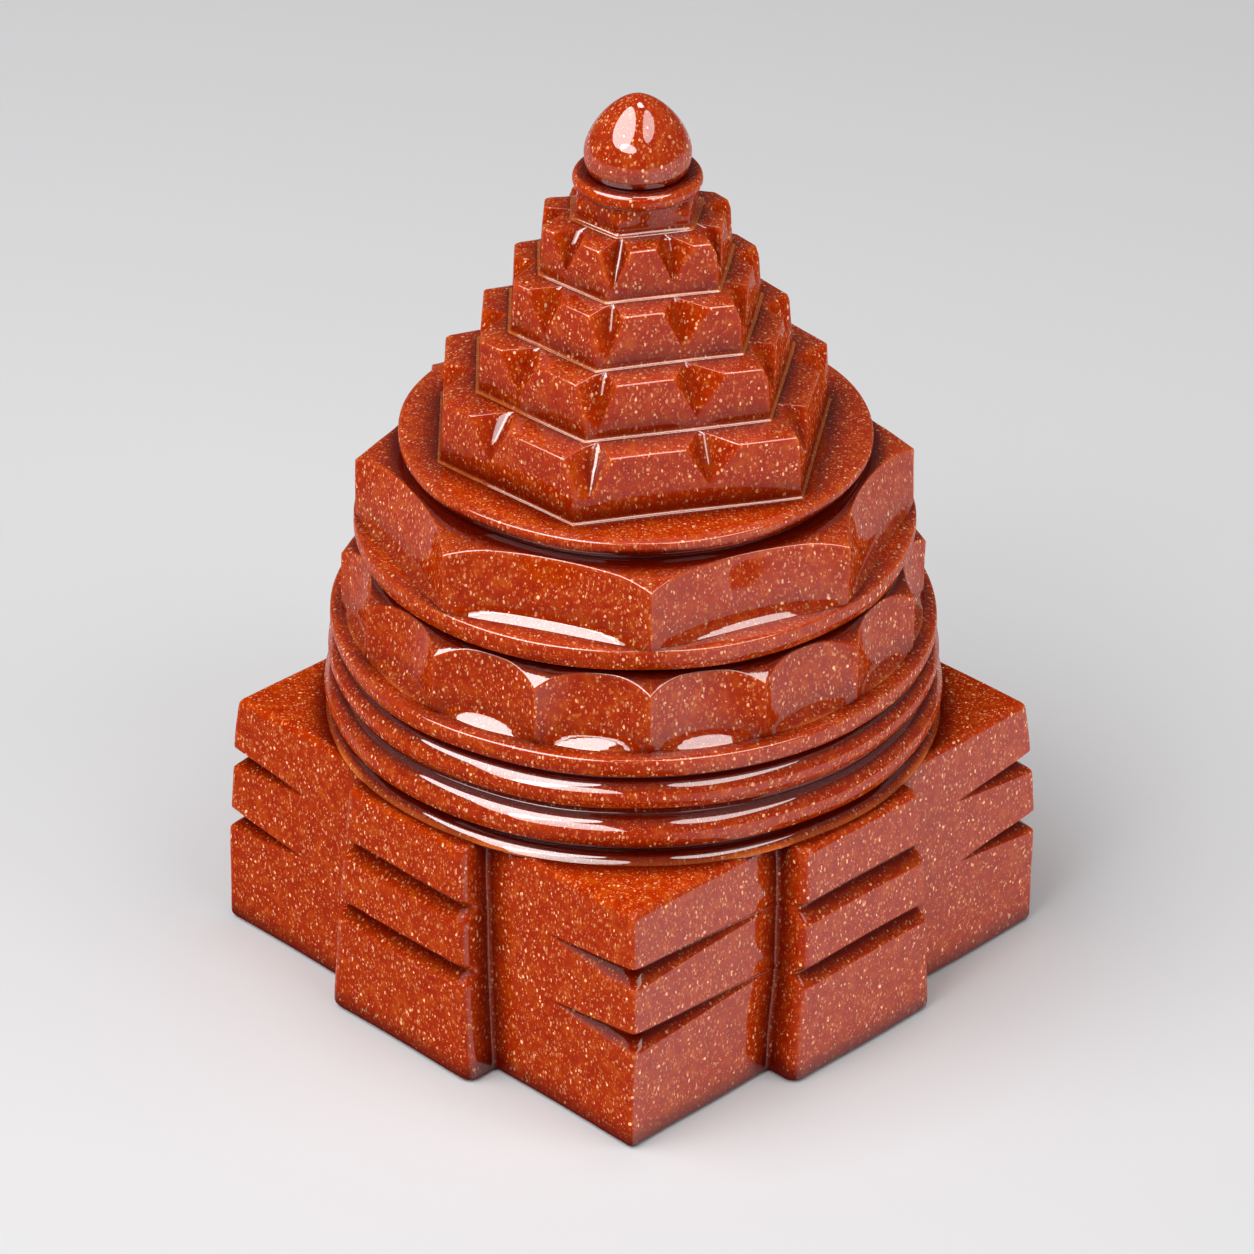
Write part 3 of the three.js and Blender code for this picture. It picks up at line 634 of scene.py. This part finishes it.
def tierPiece(name):
    # For each level: the wall's seven corners, and for each notch its two mouth edges and its
    # root. The wall leans in a little, turns over a soft edge, and goes on as a top that rises
    # gently to the foot of the tier above. The root climbs from the wall, a gap above the foot,
    # to that same foot: its way in is (share of the rise) ^ climb. A mouth edge is where a line
    # from the root, at the notch's own slant, meets the wall.
    p, k = tiers[name], tierShape
    h, edge = p["height"], k["edgeRound"]
    cove = np.linspace(0, np.pi / 2, k["coveRows"])
    bend = np.linspace(0, np.pi / 2 - np.arctan(k["drop"] / k["ledge"]), k["bendRows"])
    lip = h - k["drop"] - edge
    upright = np.concatenate([[-k["sink"]], k["cove"] * (1 - np.cos(cove)),
                              np.linspace(k["cove"], lip, k["wallRows"])[1:-1]])
    z = np.concatenate([upright, lip + edge * np.sin(bend)])
    inset = np.concatenate([np.zeros(len(upright)), edge * (1 - np.cos(bend))])
    outer = wallCorners(p["radius"] - k["draft"] * np.clip(z, 0, h) / h - inset)
    inner = wallCorners([p["above"] + k["ledgeGap"]])
    lipRow = len(outer) - 1
    across = np.linspace(0, 1, k["ledgeRows"])[1:]
    ledge = outer[-1:] * (1 - across)[:, None, None] + inner * across[:, None, None]
    wall = np.concatenate([outer, ledge])
    z = np.concatenate([z, z[-1] + (h - z[-1]) * across])
    flare = np.concatenate([[k["cove"]], k["cove"] * (1 - np.sin(cove)),
                            np.zeros(len(z) - len(cove) - 1)])

    # the roots, level by level
    angle = np.radians(k["firstNotch"] + 360 / k["notches"] * np.arange(k["notches"]))
    angles = np.broadcast_to(angle, (len(z), len(angle)))
    rootFoot = wallCorners([p["radius"] - k["draft"] * p["gap"] / h])
    low = wallReach(rootFoot, angle[None])[0]
    lipReach = wallReach(outer[-1:], angle[None])[0]
    end = wallReach(inner, angle[None])[0]
    climb = np.clip((z - p["gap"]) / (h - p["gap"]), 0, 1)[:, None]
    flat = wallReach(wall, angles)
    root = np.minimum(low + (end - low) * climb ** p["climb"], flat - k["leastDepth"])
    root = np.where(climb > 0, root, flat)
    slant = p["notch"] / 2 / (lipReach - end)

    # the mouth edges, found by halving; apart is the angle from each notch to each wall corner
    apart = np.arctan2(wall[..., 1], wall[..., 0])[..., None] - angle
    apart = (apart + np.pi) % (2 * np.pi) - np.pi
    mouths = []
    for hand in (-1.0, 1.0):
        near, far = np.zeros_like(root), np.full_like(root, k["deepestNotch"])
        for _ in range(k["halvings"]):
            x = (near + far) / 2
            towards = angles + hand * np.arctan2(slant * x, root + x)
            outside = np.hypot(root + x, slant * x) > wallReach(wall, towards)
            near, far = np.where(outside, near, x), np.where(outside, x, far)
        half = slant * near
        off = np.where(half > k["leastMouth"], np.arctan2(half, root + near),
                       k["leastMouth"] / flat)
        # a mouth that takes in a wall corner at the lip never goes past that corner lower down
        beyond = hand * apart
        held = (beyond[lipRow] > 0) & (beyond[lipRow] < off[lipRow])
        off = np.maximum(off, np.where(held, beyond + k["cornerClear"], 0.0).max(1))
        where = angles + hand * off
        mouths.append(aroundAxis(wallReach(wall, where), where))

    # a wall corner inside a notch's mouth goes back to where its ray meets the notch's side
    reach = np.linalg.norm(wall, axis=-1)
    away = np.abs(np.tan(apart))
    inNotch = (np.abs(apart) < k["cornerNear"]) & (away < slant)
    side = slant * root[:, None, :] / np.maximum(slant - away, 1e-6) * np.sqrt(1 + away ** 2)
    side = np.where(inNotch, side, 1e9).min(-1)
    wall = wall * (np.minimum(reach, side) / reach)[..., None]

    corners = np.concatenate([wall, mouths[0], aroundAxis(root, angle), mouths[1]], axis=1)
    mouthRadii = np.full(root.shape, k["mouthRound"])
    rootRadii = k["rootRound"] + (k["rootRoundTop"] - k["rootRound"]) * climb
    radii = np.concatenate([np.full(wall.shape[:2], k["cornerRound"]), mouthRadii,
                            np.broadcast_to(rootRadii, root.shape), mouthRadii], axis=1)
    order = np.argsort(np.arctan2(corners[lipRow, :, 1], corners[lipRow, :, 0]))
    corners, radii = corners[:, order], radii[:, order]
    out = corners / np.linalg.norm(corners, axis=-1)[..., None]
    loops = roundedLoop(corners + out * flare[:, None, None], radii, k["arcSteps"], k["sideSteps"])
    inside = shrunkTop(loops[-1], k["topShares"])
    grid = lifted(np.concatenate([loops, inside]),
                  np.concatenate([z, np.full(len(inside), h)]) + p["foot"])

    # the walls keep their polish, and the notches' sides lose it with their depth
    angles = np.arctan2(loops[..., 1], loops[..., 0])
    sunk = wallReach(wall, angles) - np.linalg.norm(loops, axis=-1)
    share = np.clip(1 - (sunk - k["dullFrom"]) / k["dullOver"], k["notchPolish"], 1)
    share = np.concatenate([share, np.ones((len(inside), share.shape[1]))])
    return closedSkin(name.replace("_", "."), grid, k["polished"], k["walls"], share=share)


collar = dict(foot=51.75, height=2.6, footRadius=4.2, rimRadius=4.0, rimHeight=0.95,
              rimDepth=0.36, cove=0.35, sink=0.25, blendPower=2.2, topShare=0.6,
              coveRows=6, neckRows=12, rimRows=15, steps=192)


def collarPiece():
    # Distance from the axis goes from the tiers' outline at the foot to a circle under the rim,
    # by a smooth step to the power blendPower over the levels between; the rim is half an
    # ellipse that stands out above it.
    k = collar
    turn = np.linspace(0, np.pi / 2, k["coveRows"])
    bulge = np.linspace(-np.pi / 2, np.pi / 2, k["rimRows"])
    rimFoot, half = k["height"] - k["rimHeight"], k["rimHeight"] / 2
    neck = np.linspace(k["cove"], rimFoot, k["neckRows"])[1:-1]
    z = np.concatenate([[-k["sink"]], k["cove"] * (1 - np.cos(turn)), neck,
                        rimFoot + half * (1 + np.sin(bulge)), [k["height"]]])
    push = np.zeros(len(z))
    push[0], push[1:len(turn) + 1] = k["cove"], k["cove"] * (1 - np.sin(turn))
    angle = np.arange(k["steps"]) * 2 * np.pi / k["steps"]
    angles = np.broadcast_to(angle, (len(z), len(angle)))
    polygon = wallReach(wallCorners(np.full(len(z), k["footRadius"])), angles)
    s = np.clip((z - k["cove"]) / (rimFoot - k["cove"]), 0, 1)[:, None]
    s = (s * s * (3 - 2 * s)) ** k["blendPower"]
    r = polygon * (1 - s) + (k["rimRadius"] - k["rimDepth"]) * s + push[:, None]
    r[-len(bulge) - 1:-1] = (k["rimRadius"] - k["rimDepth"] * (1 - np.cos(bulge)))[:, None]
    r[-1] = k["rimRadius"] * k["topShare"]
    return closedSkin("collar", turnedGrid(r, z[:, None] + k["foot"], k["steps"]))


dome = dict(foot=54.35, height=5.0, radius=3.33, seat=2.9, bulge=1.35, fullness=1.62,
            point=0.66, sink=0.15, lowRows=14, highRows=44, steps=160,
            polished=(0.1, 0.5), walls=(0.25, 0.55), most=0.78)


def domePiece():
    # A turned egg: below the bulge a quarter ellipse, above it the radius falls as
    # (1 - rise^fullness)^point, where rise runs from 0 at the bulge to 1 at the tip.
    k = dome
    turn = np.linspace(0, np.pi / 2, k["lowRows"])
    rise = np.sin(np.linspace(0, np.pi / 2, k["highRows"])[1:-1])
    r = np.concatenate([[k["seat"]], k["seat"] + (k["radius"] - k["seat"]) * np.sin(turn),
                        k["radius"] * (1 - rise ** k["fullness"]) ** k["point"]])
    z = np.concatenate([[-k["sink"]], k["bulge"] * (1 - np.cos(turn)),
                        k["bulge"] + (k["height"] - k["bulge"]) * rise])
    grid = turnedGrid(r[:, None], z[:, None] + k["foot"], k["steps"])
    return closedSkin("bindu.dome", grid, k["polished"], k["walls"], k["most"])


makeCamera()
for name, box in softboxes.items():
    makeSoftbox(name, **box)
print("camera and softboxes set")

glass = makeGoldstone()


def dress(piece, node):
    # gives a piece its glass and its place in the frame
    piece.data.materials.append(glass)
    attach(piece, "root")
    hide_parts(node)


dress(plinthPiece(), "bhupura_base")
print("plinth done")
for name in stages:
    dress(stagePiece(name), name)
for name in petals:
    dress(petalPiece(name), name)
print("round stages and petals done")
for name in tiers:
    dress(tierPiece(name), name)
dress(collarPiece(), "trikona_collar")
dress(domePiece(), "bindu")
print("tiers, collar and dome done")

studio = dict(halfSize=3.0, floor=(0.68, 0.68, 0.69), roughness=0.75, shine=0.2, world=0.05)


def makeFloor():
    # a plain flat floor at the object's foot
    half = studio["halfSize"]
    mesh = bpy.data.meshes.new("floor")
    mesh.from_pydata([(-half, -half, 0), (half, -half, 0), (half, half, 0), (-half, half, 0)],
                     [], [(0, 1, 2, 3)])
    floor = bpy.data.objects.new("floor", mesh)
    bpy.context.collection.objects.link(floor)
    material = bpy.data.materials.new("floor")
    material.use_nodes = True
    material.node_tree.nodes.clear()
    s = Shade(material.node_tree)
    skin = s.node("ShaderNodeBsdfPrincipled", inputs={
        "Base Color": (*studio["floor"], 1.0), "Roughness": studio["roughness"],
        "Specular IOR Level": studio["shine"]})
    s.node("ShaderNodeOutputMaterial", inputs={"Surface": skin})
    mesh.materials.append(material)


makeFloor()
world = bpy.data.worlds.new("studio")
bpy.context.scene.world = world
world.use_nodes = True
background = world.node_tree.nodes["Background"].inputs
background["Color"].default_value = (1.0, 1.0, 1.0, 1.0)
background["Strength"].default_value = studio["world"]
bpy.context.scene.view_settings.view_transform = "Standard"
print("floor and world set")
